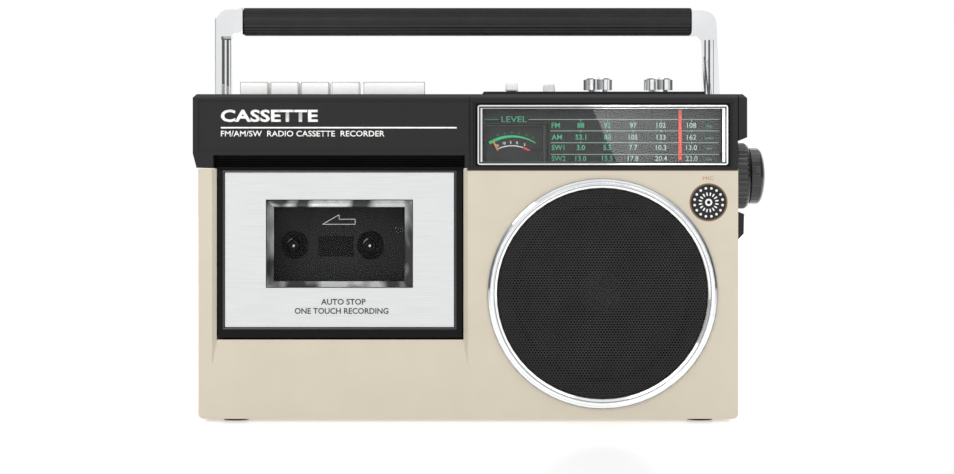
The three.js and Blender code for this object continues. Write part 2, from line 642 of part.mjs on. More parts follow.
function tuningControls() {
  const { y, z, ring, ringEnd, knob, knobEnd, shaft } = tuning;
  const start = pod.outer - 2.5;
  const centre = [0, y, z];
  const bore = shaft + 0.5;
  const ringProfile = [
    [bore, pod.inner + 0.3], [5, pod.inner + 0.3], [5, start], [ring, start], [ring, ringEnd - 2.4],
    [ring - 1, ringEnd - 0.8], [ring - 2.6, ringEnd], [bore, ringEnd],
  ];
  const ringTeeth = prism('x', fluted(ring, 0.6, 36, y, z, 2), pod.inner, ringEnd + 1);
  piece('fine_tuning_ring', spin('x', ringProfile, centre, 44).intersect(ringTeeth), 'glossBlack');
  const knobProfile = [
    [0, 143], [shaft, 143], [shaft, ringEnd + 0.4], [knob, ringEnd + 0.4], [knob, knobEnd - 4.2],
    [knob - 0.4, knobEnd - 3.3], [knob - 1.7, knobEnd - 2.3], [knob - 5, knobEnd - 1.1],
    [knob - 9.5, knobEnd - 0.3], [0, knobEnd],
  ];
  const knobTeeth = prism('x', fluted(knob, 0.15, 36, y, z, 2), 142, knobEnd + 1);
  piece('tuning_knob', spin('x', knobProfile, centre, 40).intersect(knobTeeth), 'glossBlack');
}

function electricsAndPower() {
  const { rear } = cabinet;
  piece('main_board', box(6, 142, 33, 34.6, 86, 138), 'green');
  const transformer = box(104, 138, 16, 34, 8, 44)
    .add(box(110, 132, 12, 38, 14, 38))
    .add(box(98, 144, 16, 34, 4.4, 9));
  piece('power_transformer', transformer, 'steel');
  const socket = box(inlet.left, inlet.right, rear - 19, rear + 0.6, inlet.bottom, inlet.top)
    .subtract(box(inlet.left + 3, inlet.right - 3, rear - 14, rear + 2, inlet.bottom + 3, inlet.top - 3));
  piece('ac_inlet', socket, 'black');
  const lid = box(
    battery.left + 0.5, battery.right - 0.5, rear - 2, rear, battery.bottom + 0.8, battery.top - 0.6,
  );
  const fingerDip = rod('x', 3, -78, -58, [0, rear + 1.6, battery.top - 6], 16);
  piece('battery_door', lid.subtract(fingerDip), 'beige');
}

function whipAntenna() {
  const { x, y, z, radius, length } = antenna;
  const rear = cabinet.rear;
  const ear = (from) => box(x - 4, x + 4, rear + 0.5, y + 2.6, from, from + 1.2);
  const base = rod('y', 3, rear - 6, rear + 0.4, [x, 0, z])
    .add(rod('y', 6, rear + 0.3, rear + 1.8, [x, 0, z]))
    .add(ear(z - 4.2))
    .add(ear(z + 3))
    .add(rod('z', 1.2, z - 4, z + 4, [x, y, 0], 12));
  piece('antenna_base', base, 'chrome');

  const end = x - length;
  const eye = rod('z', radius, z - 2.7, z + 2.7, [x, y, 0], 20);
  const lower = rod('x', radius, end, x, [0, y, z], 20)
    .intersect(box(end, x, 0, 90, z - 2.55, z + 2.55))
    .add(eye)
    .subtract(rod('x', radius - 0.4, end - 1, x - 8, [0, y, z], 20))
    .subtract(rod('z', 1.5, z - 5, z + 5, [x, y, 0], 12));
  piece('antenna_tube_lower', lower, 'chrome');
  const middle = rod('x', 1.9, end - 3, x - 10, [0, y, z], 16)
    .subtract(rod('x', 1.5, end - 4, x - 14, [0, y, z], 16));
  piece('antenna_tube_middle', middle, 'chrome');
  const tip = rod('x', 1.2, end - 4, x - 16, [0, y, z], 12)
    .add(rod('x', 2.5, end - 10, end - 3.6, [0, y, z], 16));
  piece('antenna_tube_tip', tip, 'chrome');
}

casing();
carryingHandle();
tuningDial();
loudspeaker();
microphone();
cassetteDoor();
tapeDeck();
keys();
topControls();
tuningControls();
electricsAndPower();
whipAntenna();

export default model;
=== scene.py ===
"""The looks of a portable radio and cassette recorder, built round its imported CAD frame.

Every place below is given in millimetres on the cabinet: x from its middle, depth behind its
front face, and height above the floor. at() turns such a place into the frame's metres.
"""

import math

import bmesh
import bpy
from mathutils import Matrix, Vector


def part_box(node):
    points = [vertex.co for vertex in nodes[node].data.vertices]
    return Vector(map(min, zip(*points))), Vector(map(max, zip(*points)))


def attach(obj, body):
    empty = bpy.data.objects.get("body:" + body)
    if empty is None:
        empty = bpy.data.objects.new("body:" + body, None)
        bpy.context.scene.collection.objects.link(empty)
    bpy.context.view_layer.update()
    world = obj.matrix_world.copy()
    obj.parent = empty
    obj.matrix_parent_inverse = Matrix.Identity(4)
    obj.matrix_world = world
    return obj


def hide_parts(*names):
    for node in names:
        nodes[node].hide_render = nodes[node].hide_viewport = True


MM = 0.001
BODY = "radio_body"
# How thick a printed line is, in millimetres.
PRINT = 0.04

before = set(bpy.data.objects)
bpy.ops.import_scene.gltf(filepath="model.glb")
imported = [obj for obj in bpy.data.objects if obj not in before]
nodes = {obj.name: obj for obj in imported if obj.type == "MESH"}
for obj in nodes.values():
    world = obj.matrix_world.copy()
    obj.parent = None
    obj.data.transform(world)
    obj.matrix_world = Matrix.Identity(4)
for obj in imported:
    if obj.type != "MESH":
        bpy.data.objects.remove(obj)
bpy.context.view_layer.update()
cabinet_low, cabinet_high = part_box("front_cabinet")
MIDDLE_X = (cabinet_low.x + cabinet_high.x) / 2
FRONT_Y = cabinet_low.y


def at(x, depth, height):
    return Vector((MIDDLE_X + x * MM, FRONT_Y + depth * MM, height * MM))


def place_of(node):
    """A CAD node's box in cabinet millimetres: (x, depth, height) low and high."""
    spots = []
    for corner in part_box(node):
        spots.append(((corner.x - MIDDLE_X) / MM, (corner.y - FRONT_Y) / MM, corner.z / MM))
    return spots


def middle_of(node):
    low, high = place_of(node)
    return [(a + b) / 2 for a, b in zip(low, high)]


# ---------------------------------------------------------------- materials


class Finish:
    """A Principled material whose colour, roughness and relief are built up from nodes."""

    def __init__(self, name, color, roughness, metallic=0.0, **sockets):
        self.material = bpy.data.materials.new(name)
        self.material.use_nodes = True
        self.tree = self.material.node_tree
        self.shader = self.tree.nodes["Principled BSDF"]
        self.shader.inputs["Base Color"].default_value = (*color, 1)
        self.shader.inputs["Roughness"].default_value = roughness
        self.shader.inputs["Metallic"].default_value = metallic
        for socket, value in sockets.items():
            self.shader.inputs[socket.replace("_", " ")].default_value = value
        self.roughness = roughness
        self.normal = None
        self.coords = self.node("ShaderNodeTexCoord").outputs["Object"]

    def node(self, kind, **settings):
        made = self.tree.nodes.new(kind)
        for key, value in settings.items():
            setattr(made, key, value)
        return made

    def link(self, start, end):
        self.tree.links.new(start, end)

    def stretched(self, scale):
        mapping = self.node("ShaderNodeMapping")
        mapping.inputs["Scale"].default_value = scale
        self.link(self.coords, mapping.inputs["Vector"])
        return mapping.outputs["Vector"]

    def noise(self, scale, detail=3.0, stretch=(1, 1, 1)):
        texture = self.node("ShaderNodeTexNoise")
        texture.inputs["Scale"].default_value = scale
        texture.inputs["Detail"].default_value = detail
        self.link(self.stretched(stretch), texture.inputs["Vector"])
        return texture.outputs["Fac"]

    def ramp(self, value, low, high, start=0.35, end=0.65):
        """Maps a grey value onto two colours or two numbers."""
        pair = [c if isinstance(c, tuple) else (c, c, c) for c in (low, high)]
        made = self.node("ShaderNodeValToRGB")
        for stop, place, color in zip(made.color_ramp.elements, (start, end), pair):
            stop.position = place
            stop.color = (*color, 1)
        self.link(value, made.inputs["Fac"])
        return made.outputs["Color"]

    def vary_color(self, value, low, high, start=0.35, end=0.65):
        self.link(self.ramp(value, low, high, start, end), self.shader.inputs["Base Color"])
        return self

    def vary_roughness(self, value, spread, start=0.35, end=0.65):
        low, high = max(self.roughness - spread, 0.0), self.roughness + spread
        self.link(self.ramp(value, low, high, start, end), self.shader.inputs["Roughness"])
        return self

    def relief(self, value, depth, strength=1.0):
        bump = self.node("ShaderNodeBump")
        bump.inputs["Strength"].default_value = strength
        bump.inputs["Distance"].default_value = depth * MM
        self.link(value, bump.inputs["Height"])
        if self.normal:
            self.link(self.normal, bump.inputs["Normal"])
        self.normal = bump.outputs["Normal"]
        self.link(self.normal, self.shader.inputs["Normal"])
        return self


def tint(color, factor):
    return tuple(min(c * factor, 1) for c in color)


def moulded(name, color, roughness, grain=0.012, mottle=0.02, **sockets):
    """Moulded plastic: faint mottling, a fine grain and slightly uneven gloss."""
    made = Finish(name, color, roughness, **sockets)
    made.vary_color(made.noise(45, 5), tint(color, 1 - mottle), tint(color, 1 + mottle))
    made.vary_roughness(made.noise(110, 4), 0.05)
    return made.relief(made.noise(3200, 2), grain).material


def plated(name, color, roughness, haze=0.04):
    """Bright plating: smooth, with a faint haze and very slow waves."""
    made = Finish(name, color, roughness, metallic=1.0)
    made.vary_color(made.noise(30, 3), tint(color, 0.94), tint(color, 1.04))
    made.vary_roughness(made.noise(160, 5), haze)
    return made.relief(made.noise(90, 1), 0.02, 0.25).material


def brushed(name, color, roughness, stretch):
    """Brushed sheet: long fine streaks in the colour, the gloss and the relief."""
    made = Finish(name, color, roughness, metallic=0.9)
    streaks = made.noise(2200, 6, stretch)
    made.vary_color(streaks, tint(color, 0.93), tint(color, 1.05), 0.3, 0.7)
    made.vary_roughness(made.noise(900, 4, stretch), 0.08)
    made.relief(streaks, 0.012, 0.5)
    return made.material


def see_through(name, color, roughness, bending):
    """Clear acrylic that lets lamps light what is behind it."""
    made = Finish(name, color, roughness, Transmission_Weight=1.0, IOR=bending)
    made.vary_roughness(made.noise(70, 4), roughness / 3)
    clear = made.node("ShaderNodeBsdfTransparent")
    path = made.node("ShaderNodeLightPath")
    mix = made.node("ShaderNodeMixShader")
    made.link(path.outputs["Is Shadow Ray"], mix.inputs["Fac"])
    made.link(made.shader.outputs["BSDF"], mix.inputs[1])
    made.link(clear.outputs["BSDF"], mix.inputs[2])
    made.link(mix.outputs["Shader"], made.tree.nodes["Material Output"].inputs["Surface"])
    return made.material


def printed(name, color, glow=0.0):
    """Screen-printed ink, slightly uneven; where a glow is given, it has a painted glow that is the same
    under any lamp.
    """
    made = Finish(name, color, 0.55)
    made.vary_color(made.noise(400, 4), tint(color, 0.88), tint(color, 1.1))
    # Painted glow: the ink gives off light of its own.
    if glow:
        made.shader.inputs["Emission Color"].default_value = (*color, 1)
        made.shader.inputs["Emission Strength"].default_value = glow
    return made.relief(made.noise(2500, 2), 0.01).material


def window_rim_finish():
    """Polished acrylic edge whose colour carries bright and dark streaks along its length: painted
    reflections.
    """
    made = Finish("window_rim", (0.3, 0.3, 0.3), 0.2, metallic=0.85)
    streaks = made.noise(52, 2, (1, 1, 0.5))
    # The dark and bright streaks in the colour are painted reflections.
    made.vary_color(streaks, (0.03, 0.03, 0.03), (0.36, 0.37, 0.37), 0.42, 0.54)
    made.vary_roughness(made.noise(180, 4), 0.08)
    return made.relief(made.noise(90, 1, (1, 1, 0.4)), 0.08, 0.4).material


def grille_finish():
    """Painted sheet metal: dark, even and slightly glossy."""
    made = Finish("grille_metal", (0.008, 0.008, 0.0085), 0.4, Specular_IOR_Level=0.3)
    made.vary_roughness(made.noise(300, 4), 0.08)
    made.vary_color(made.noise(60, 3), (0.006, 0.006, 0.006), (0.011, 0.011, 0.0115))
    return made.relief(made.noise(2500, 2), 0.01).material


BEIGE = moulded("beige_moulding", (0.544, 0.491, 0.394), 0.42)
BLACK = moulded("black_moulding", (0.010, 0.010, 0.0105), 0.38, Specular_IOR_Level=0.25)
DEEP_BLACK = moulded("deep_black_moulding", (0.003, 0.003, 0.003), 0.35, Specular_IOR_Level=0.12)
GLOSS_BLACK = moulded("gloss_black_moulding", (0.012, 0.012, 0.012), 0.16, grain=0.004)
DIAL_BLACK = moulded("dial_black", (0.006, 0.007, 0.007), 0.5, grain=0.004)
IVORY = moulded("pearl_key_moulding", (0.93, 0.93, 0.92), 0.28, grain=0.004)
DECK_GREY = moulded("deck_moulding", (0.012, 0.012, 0.012), 0.45, Specular_IOR_Level=0.2)
HUB_BLACK = moulded("hub_black", (0.003, 0.003, 0.003), 0.5, grain=0.004, Specular_IOR_Level=0.08)
RUBBER = moulded("ribbed_rubber", (0.009, 0.009, 0.009), 0.5, grain=0.03, Specular_IOR_Level=0.3)
CIRCUIT = moulded("circuit_laminate", (0.02, 0.14, 0.06), 0.4)
PAPER = moulded("cone_paper", (0.035, 0.034, 0.032), 0.85, grain=0.08)
CHROME = plated("bright_chrome", (0.80, 0.81, 0.82), 0.07)
BRASS = plated("turned_brass", (0.66, 0.46, 0.18), 0.25)
PLATE = brushed("brushed_plate", (0.61, 0.62, 0.62), 0.42, (0.02, 1, 1))
STEEL = brushed("zinc_steel", (0.5, 0.51, 0.52), 0.36, (0.1, 1, 1))
WINDOW = see_through("window_acrylic", (0.88, 0.89, 0.89), 0.015, 1.11)
LENS = see_through("lens_acrylic", (0.97, 0.98, 0.98), 0.006, 1.25)
WHITE_INK = printed("white_ink", (0.86, 0.86, 0.84))
GREY_INK = printed("grey_ink", (0.03, 0.031, 0.033))
# The green, pale green and red inks carry a painted glow.
GREEN_INK = printed("green_ink", (0.08, 0.42, 0.24), glow=0.12)
BRIGHT_GREEN_INK = printed("bright_green_ink", (0.03, 0.42, 0.16), glow=0.2)
PALE_INK = printed("pale_green_ink", (0.42, 0.58, 0.50), glow=0.05)
RED_INK = printed("red_ink", (0.72, 0.05, 0.03), glow=0.15)
RED = moulded("red_pointer", (0.80, 0.07, 0.04), 0.35, grain=0.004)
ORANGE = moulded("orange_needle", (0.85, 0.27, 0.05), 0.4, grain=0.004)
ORANGE_INK = printed("orange_ink", (0.45, 0.17, 0.08))
# A grey for painted light: highlights on the meter's edges and the tuning ridges, shade on the right
# arm's ribs.
HIGHLIGHT_AND_SHADE_GREY = moulded("painted_highlight_and_shade_grey", (0.07, 0.07, 0.072), 0.4)
# A grey for painted dark lines: shade round the keys, and a shadow and a dark reflection on the speaker
# ring.
DARK_LINE_GREY = moulded("painted_dark_line_grey", (0.22, 0.22, 0.22), 0.35)
# A brown for painted shadow lines: round the microphone and under the cover's edge.
SHADOW_BROWN = moulded("painted_shadow_brown", (0.16, 0.09, 0.04), 0.5)
WINDOW_RIM = window_rim_finish()
GRILLE = grille_finish()
HOLE_RIM = plated("grille_hole_edges", (0.09, 0.09, 0.092), 0.3)
PAPER_CAP = moulded("dust_cap_paper", (0.13, 0.13, 0.13), 0.35, grain=0.02)
MIC_WHITE = moulded("mic_white", (0.78, 0.78, 0.77), 0.3, grain=0.004)

LOOKS = {
    BEIGE: ["front_cabinet", "rear_cabinet", "battery_door"],
    BLACK: ["top_cover", "side_pod", "cassette_holder", "ac_inlet", "mic_bezel", "speaker_basket"],
    DEEP_BLACK: ["door_frame"],
    DECK_GREY: ["deck_plate"],
    GLOSS_BLACK: ["fine_tuning_ring", "tuning_knob"],
    DIAL_BLACK: ["dial_plate", "meter_housing"],
    IVORY: ["key_record", "key_play", "key_rewind", "key_forward", "key_stop_eject",
            "function_switch_knob", "band_switch_knob", "erase_head"],
    HUB_BLACK: ["supply_spindle", "takeup_spindle"],
    RUBBER: ["handle_grip", "pinch_roller", "drive_belt", "foot_front_left", "foot_front_right",
             "foot_rear_left", "foot_rear_right"],
    CHROME: ["handle_arm_left", "handle_arm_right", "dial_frame", "speaker_ring", "volume_knob",
             "tone_knob", "antenna_base", "antenna_tube_lower", "antenna_tube_middle",
             "antenna_tube_tip", "record_play_head"],
    PLATE: ["door_plate"],
    STEEL: ["head_plate", "pinch_arm", "door_latch", "drive_motor", "key_shaft", "speaker_magnet",
            "power_transformer"],
    BRASS: ["flywheel", "motor_pulley"],
    WINDOW: ["door_window"],
    LENS: ["dial_lens"],
    CIRCUIT: ["main_board"],
    PAPER: ["speaker_cone"],
    RED: ["dial_pointer"],
    ORANGE: ["meter_needle"],
}

# How far the edges of a CAD node are rounded, in millimetres.
ROUNDED = {
    "front_cabinet": 0.5, "rear_cabinet": 0.5, "top_cover": 0.45, "side_pod": 0.5, "battery_door": 0.3,
    "door_frame": 0.3, "door_plate": 0.12, "dial_frame": 0.35, "handle_arm_left": 0.9,
    "handle_arm_right": 0.9, "key_record": 0.4, "key_play": 0.4, "key_rewind": 0.4,
    "key_forward": 0.4, "key_stop_eject": 0.4, "function_switch_knob": 0.8,
    "band_switch_knob": 0.8, "volume_knob": 0.25, "tone_knob": 0.25, "ac_inlet": 0.2,
    "fine_tuning_ring": 0.12, "tuning_knob": 0.12, "cassette_holder": 0.3,
}


def smoothing_group(limit=math.radians(32)):
    """Joins split corners and shades smooth across every edge that is flatter than the limit."""
    group = bpy.data.node_groups.new("smooth_by_angle", "GeometryNodeTree")
    group.interface.new_socket("Geometry", in_out="INPUT", socket_type="NodeSocketGeometry")
    group.interface.new_socket("Geometry", in_out="OUTPUT", socket_type="NodeSocketGeometry")
    make = group.nodes.new
    start = make("NodeGroupInput")
    end = make("NodeGroupOutput")
    merge = make("GeometryNodeMergeByDistance")
    merge.inputs["Distance"].default_value = 0.005 * MM
    plain = make("GeometryNodeRemoveAttribute")
    plain.inputs["Name"].default_value = "custom_normal"
    faces = make("GeometryNodeSetShadeSmooth")
    edges = make("GeometryNodeSetShadeSmooth")
    edges.domain = "EDGE"
    angle = make("GeometryNodeInputMeshEdgeAngle")
    flatter = make("FunctionNodeCompare")
    flatter.data_type, flatter.operation = "FLOAT", "LESS_THAN"
    flatter.inputs["B"].default_value = limit
    join = group.links.new
    join(start.outputs[0], merge.inputs["Geometry"])
    join(merge.outputs["Geometry"], plain.inputs["Geometry"])
    join(plain.outputs["Geometry"], faces.inputs["Geometry"])
    join(faces.outputs["Geometry"], edges.inputs["Geometry"])
    join(angle.outputs["Unsigned Angle"], flatter.inputs["A"])
    join(flatter.outputs["Result"], edges.inputs["Shade Smooth"])
    join(edges.outputs["Geometry"], end.inputs[0])
    return group


SMOOTH = smoothing_group()


def finish_node(name, material, rounding):
    """Gives a CAD node its material, smooth shading and softly rounded edges."""
    obj = nodes[name]
    obj.data.materials.clear()
    obj.data.materials.append(material)
    obj.modifiers.new("smooth", "NODES").node_group = SMOOTH
    if rounding:
        flatten = obj.modifiers.new("flatten", "DECIMATE")
        flatten.decimate_type = "DISSOLVE"
        flatten.angle_limit = math.radians(0.5)
        bevel = obj.modifiers.new("rounded_edges", "BEVEL")
        bevel.width = rounding * MM
        bevel.segments = 2
        bevel.limit_method = "ANGLE"
        bevel.angle_limit = math.radians(38)
        bevel.use_clamp_overlap = True
        obj.modifiers.new("even_shading", "WEIGHTED_NORMAL").keep_sharp = True


# ---------------------------------------------------------------- making pieces


def piece(name, mesh, material, body=BODY):
    """Makes an object of a mesh and lets it ride on a body."""
    obj = bpy.data.objects.new(name, mesh)
    bpy.context.scene.collection.objects.link(obj)
    if material:
        mesh.materials.append(material)
    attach(obj, body)
    return obj


def mesh_of(name, verts, faces):
    mesh = bpy.data.meshes.new(name)
    mesh.from_pydata([tuple(v) for v in verts], [], faces)
    mesh.update()
    return mesh


def closed_bar_faces(base=0):
    """The six faces of a bar whose two ends are four corners each, counted from the base."""
    sides = [(k, (k + 1) % 4, (k + 1) % 4 + 4, k + 4) for k in range(4)]
    return [tuple(base + k for k in face) for face in (*sides, (3, 2, 1, 0), (4, 5, 6, 7))]


def plate(name, verts, material, thickness, body=BODY):
    """A flat piece with four corners and a thickness in millimetres."""
    obj = piece(name, mesh_of(name, verts, [(0, 1, 2, 3)]), material, body)
    obj.modifiers.new("wall", "SOLIDIFY").thickness = thickness * MM
    return obj


def front_sheet(name, outline, depth, thickness, material, body=BODY):
    """A thin closed sheet whose outline, as (x, height), faces the front."""
    count = len(outline)
    verts = [at(x, place, z) for place in (depth, depth + thickness) for x, z in outline]
    faces = [tuple(range(count)), tuple(reversed(range(count, 2 * count)))]
    faces += [(i, i + count, (i + 1) % count + count, (i + 1) % count) for i in range(count)]
    mesh = mesh_of(name, verts, faces)
    tidy = bmesh.new()
    tidy.from_mesh(mesh)
    bmesh.ops.recalc_face_normals(tidy, faces=tidy.faces)
    tidy.to_mesh(mesh)
    tidy.free()
    return piece(name, mesh, material, body)


def bar(name, x0, x1, z0, z1, depth, material, thickness=PRINT):
    """A front sheet with a rectangular outline."""
    return front_sheet(name, [(x0, z0), (x1, z0), (x1, z1), (x0, z1)], depth, thickness, material)


def arc_points(centre, radii, start, end):
    """Points on an arc whose radius runs from one value to another.

    Angles are in degrees from straight up, clockwise as seen from the front.
    """
    steps = 28
    points = []
    for i in range(steps + 1):
        share = i / steps
        angle = math.radians(start + (end - start) * share)
        radius = radii[0] + (radii[1] - radii[0]) * share
        points.append((centre[0] + radius * math.sin(angle), centre[1] + radius * math.cos(angle)))
    return points


def arc_band(name, centre, inner, outer, start, end, depth, material, body=BODY):
    """A printed band between two arcs."""
    outline = arc_points(centre, outer, start, end)
    outline += reversed(arc_points(centre, inner, start, end))
    return front_sheet(name, outline, depth, PRINT, material, body)


def spun(name, profile, place, material, body=BODY, facing="-Y", segments=32, slot=None):
    """A turned piece. The profile is (radius, height) in mm, and height grows towards facing."""
    made = bmesh.new()
    rings = []
    for radius, height in profile:
        if radius == 0:
            rings.append([made.verts.new((0, 0, height * MM))])
            continue
        rings.append([
            made.verts.new((
                radius * MM * math.cos(2 * math.pi * i / segments),
                radius * MM * math.sin(2 * math.pi * i / segments),
                height * MM,
            ))
            for i in range(segments)
        ])
    for low, high in zip(rings, rings[1:]):
        for i in range(segments):
            j = (i + 1) % segments
            around = [low[i % len(low)], low[j % len(low)], high[j % len(high)], high[i % len(high)]]
            corners = list(dict.fromkeys(around))
            if len(corners) > 2:
                made.faces.new(corners)
    bmesh.ops.recalc_face_normals(made, faces=made.faces)
    for face in made.faces:
        face.smooth = True
    turn = Vector((0, 0, 1)).rotation_difference(FACINGS[facing]).to_matrix().to_4x4()
    made.transform(Matrix.Translation(place) @ turn)
    mesh = bpy.data.meshes.new(name)
    made.to_mesh(mesh)
    made.free()
    obj = piece(name, mesh, material, body)
    obj.modifiers.new("smooth", "NODES").node_group = SMOOTH
    return obj


FACINGS = {"-Y": Vector((0, -1, 0)), "+Y": Vector((0, 1, 0)), "+Z": Vector((0, 0, 1))}


def words(
    name, text, place, height, material,
    width=None, body=BODY, bold=0.0, facing="front", middle=True,
):
    """Printed words, fitted to a height and, where it is given, a width, in millimetres."""
    curve = bpy.data.curves.new(name, "FONT")
    curve.body = text
    curve.offset = bold
    curve.resolution_u = 3
    source = bpy.data.objects.new(name + "_source", curve)
    bpy.context.scene.collection.objects.link(source)
    bpy.context.view_layer.update()
    graph = bpy.context.evaluated_depsgraph_get()
    mesh = bpy.data.meshes.new_from_object(source.evaluated_get(graph))
    bpy.data.objects.remove(source)
    xs = [v.co.x for v in mesh.vertices]
    ys = [v.co.y for v in mesh.vertices]
    rise = height * MM / (max(ys) - min(ys))
    run = width * MM / (max(xs) - min(xs)) if width else rise
    start = (max(xs) + min(xs)) / 2 if middle else min(xs)
    mesh.transform(Matrix.Translation((-start, -(max(ys) + min(ys)) / 2, 0)))
    mesh.transform(Matrix.Diagonal((run, rise, 1, 1)))
    lean = {"front": 90, "top": 0}[facing]
    turn = Matrix.Rotation(math.radians(lean), 4, "X")
    mesh.transform(Matrix.Translation(place) @ turn)
    obj = piece(name, mesh, material, body)
    ink = obj.modifiers.new("ink", "SOLIDIFY")
    ink.thickness = 0.05 * MM
    ink.offset = 1
    return obj


# ---------------------------------------------------------------- the object's own details


def fascia_print():
    """The words and the rule on the black panel above the cassette door."""
    depth = 0.75
    title, subtitle = at(-137.6, depth, 169.9), at(-137.5, depth, 160)
    words("fascia_title", "CASSETTE", title, 6.9, WHITE_INK, 54, bold=0.03, middle=False)
    bar("fascia_rule", -137.5, -6.4, 162.9, 163.7, depth, WHITE_INK)
    line = "FM/AM/SW  RADIO CASSETTE  RECORDER"
    words("fascia_subtitle", line, subtitle, 3.2, WHITE_INK, 91, bold=0.012, middle=False)


def dial_print():
    """The tuning scale: rows for the bands, thin rules between them and ticks at the numbers."""
    low, high = place_of("dial_plate")
    depth = low[1] - 0.07
    right = high[0] - 0.8
    half_line = 0.13
    rules = {"top": (33.7, 168), "fm": (46, 161.6), "am": (46, 155), "sw": (46, 148.5)}
    for name, (left, z) in rules.items():
        bar(f"dial_rule_{name}", left, right, z - half_line, z + half_line, depth, PALE_INK)
    screen_top = place_of("dial_lens")[1][2] + 0.6
    bar("dial_screen", low[0], high[0], high[2] - 0.3, screen_top, low[1], DIAL_BLACK, 0.5)
    bar("dial_rule_left", 9, 17, 168 - half_line, 168 + half_line, depth, GREEN_INK)
    words("dial_level", "LEVEL", at(25.7, depth, 168.1), 3.3, GREEN_INK, 14.2)
    # Where the columns of numbers stand, left to right.
    columns = (62.9, 77.7, 92.1, 107.7, 124.7)
    rows = {
        "FM": (164.7, ("88", "92", "97", "102", "108"), "MHz"),
        "AM": (158.1, ("53.1", "80", "105", "133", "162"), "x10kHz"),
        "SW1": (152.3, ("3.0", "5.5", "7.7", "10.3", "13.0"), "MHz"),
        "SW2": (146.2, ("13.0", "15.5", "17.8", "20.4", "23.0"), "MHz"),
    }
    tall = 2.9
    for band, (z, numbers, unit) in rows.items():
        words(f"dial_band_{band}", band, at(46.6, depth, z), tall, GREEN_INK, bold=0.01, middle=False)
        for i, (x, number) in enumerate(zip(columns, numbers)):
            ink = GREEN_INK if i in (0, 1) else PALE_INK
            words(f"dial_number_{band}_{i}", number, at(x, depth, z), tall, ink, bold=0.012)
        words(f"dial_unit_{band}", unit, at(134.6, depth, z - 0.6), 1.1, GREEN_INK)
    for i, x in enumerate(columns):
        for name, z in (("top", 167.3), ("fm", 161.6), ("am", 155.3)):
            bar(f"dial_tick_{name}_{i}", x - 0.12, x + 0.12, z - 0.8, z + 0.5, depth, PALE_INK)


def level_meter():
    """The meter's face behind its needle, its scale, the skirt in front, and edge strips that are
    painted highlights.
    """
    (x0, _, bottom), (x1, _, top) = place_of("meter_housing")
    pivot = (middle_of("meter_housing")[0] - 1.6, bottom + 4.4)
    face, foot = 7.5, top - 26
    left, right = x0 + 1.4, x1 - 1.4
    bar("meter_face", left, right, foot, top - 1.4, face, DIAL_BLACK, 0.5)
    # The lighter grey strips along the right and top edges are painted highlights.
    bar("meter_right_edge", x1 - 1.9, x1 - 1.1, top - 21.5, top - 1.8, face - 3, HIGHLIGHT_AND_SHADE_GREY, 2.5)
    bar("meter_top_edge", left, x1 - 1.9, top - 2.2, top - 1.8, face - 3, HIGHLIGHT_AND_SHADE_GREY, 2.5)
    bar("meter_skirt", left, right, foot, 150.6, 4.7, DIAL_BLACK, 0.3)
    depth = face - 0.06
    for color, inner, outer, start, end, ink in (
        ("green", (22.9, 23.9), (24.7, 24.4), -32, 33, BRIGHT_GREEN_INK),
        ("white", (18.5, 18.5), (19.0, 19.0), -24, 19, WHITE_INK),
        ("red", (18.2, 18.2), (19.3, 19.3), 20, 34, RED_INK),
    ):
        arc_band(f"meter_{color}_arc", pivot, inner, outer, start, end, depth, ink)

    def around(radius, degrees):
        lean = math.radians(degrees)
        return pivot[0] + radius * math.sin(lean), pivot[1] + radius * math.cos(lean)

    scale = (("20", -24), ("10", -12), ("5", -2), ("0", 8), ("3", 20))
    for i, (number, degrees) in enumerate(scale):
        x, z = around(20.6, degrees)
        words(f"meter_number_{i}", number, at(x, depth, z), 1.5, WHITE_INK, bold=0.01)
    across = 0.14
    for i in range(7):
        start, end = around(25.6, -27 + 9 * i), around(26.5, -27 + 9 * i)
        outline = [
            (start[0] - across, start[1]), (start[0] + across, start[1]),
            (end[0] + across, end[1]), (end[0] - across, end[1]),
        ]
        front_sheet(f"meter_tick_{i}", outline, depth, PRINT, GREEN_INK)
    words("meter_unit", "VU", at(25, depth, 149.7), 1.5, WHITE_INK)


def door_details():
    """The plate's words, the tape arrow and the bright bevel round the window."""
    body = "cassette_door"
    depth = place_of("door_plate")[0][1] - 0.05
    lines = (
        ("upper", "AUTO STOP", at(-69.5, depth, 66.4), 24.8),
        ("lower", "ONE TOUCH RECORDING", at(-70.5, depth, 61.3), 52.2),
    )
    for name, text, place, width in lines:
        words(f"door_words_{name}", text, place, 3.3, GREY_INK, width, body, 0.02)
    low, high = place_of("door_window")
    tip = low[1] - 0.05
    outline = [(-81, 109.6), (-71.8, 114.9), (-71.8, 112.4), (-62.9, 112.4), (-62.9, 109.6)]
    for i, (start, end) in enumerate(zip(outline, outline[1:] + outline[:1])):
        run = Vector((end[0] - start[0], end[1] - start[1])).normalized() * 0.1
        side = (-run.y, run.x)
        corners = [
            (start[0] + side[0], start[1] + side[1]), (start[0] - side[0], start[1] - side[1]),
            (end[0] - side[0], end[1] - side[1]), (end[0] + side[0], end[1] + side[1]),
        ]
        front_sheet(f"tape_arrow_{i}", corners, tip, PRINT, WHITE_INK, body)
    window_bevel(low, high, body)


def ring_faces(levels, corners=4):
    """Faces that join rings of corners, one after another."""
    faces = []
    for level in range(levels - 1):
        base = corners * level
        for i in range(corners):
            j = (i + 1) % corners
            faces.append((base + i, base + j, base + corners + j, base + corners + i))
    return faces


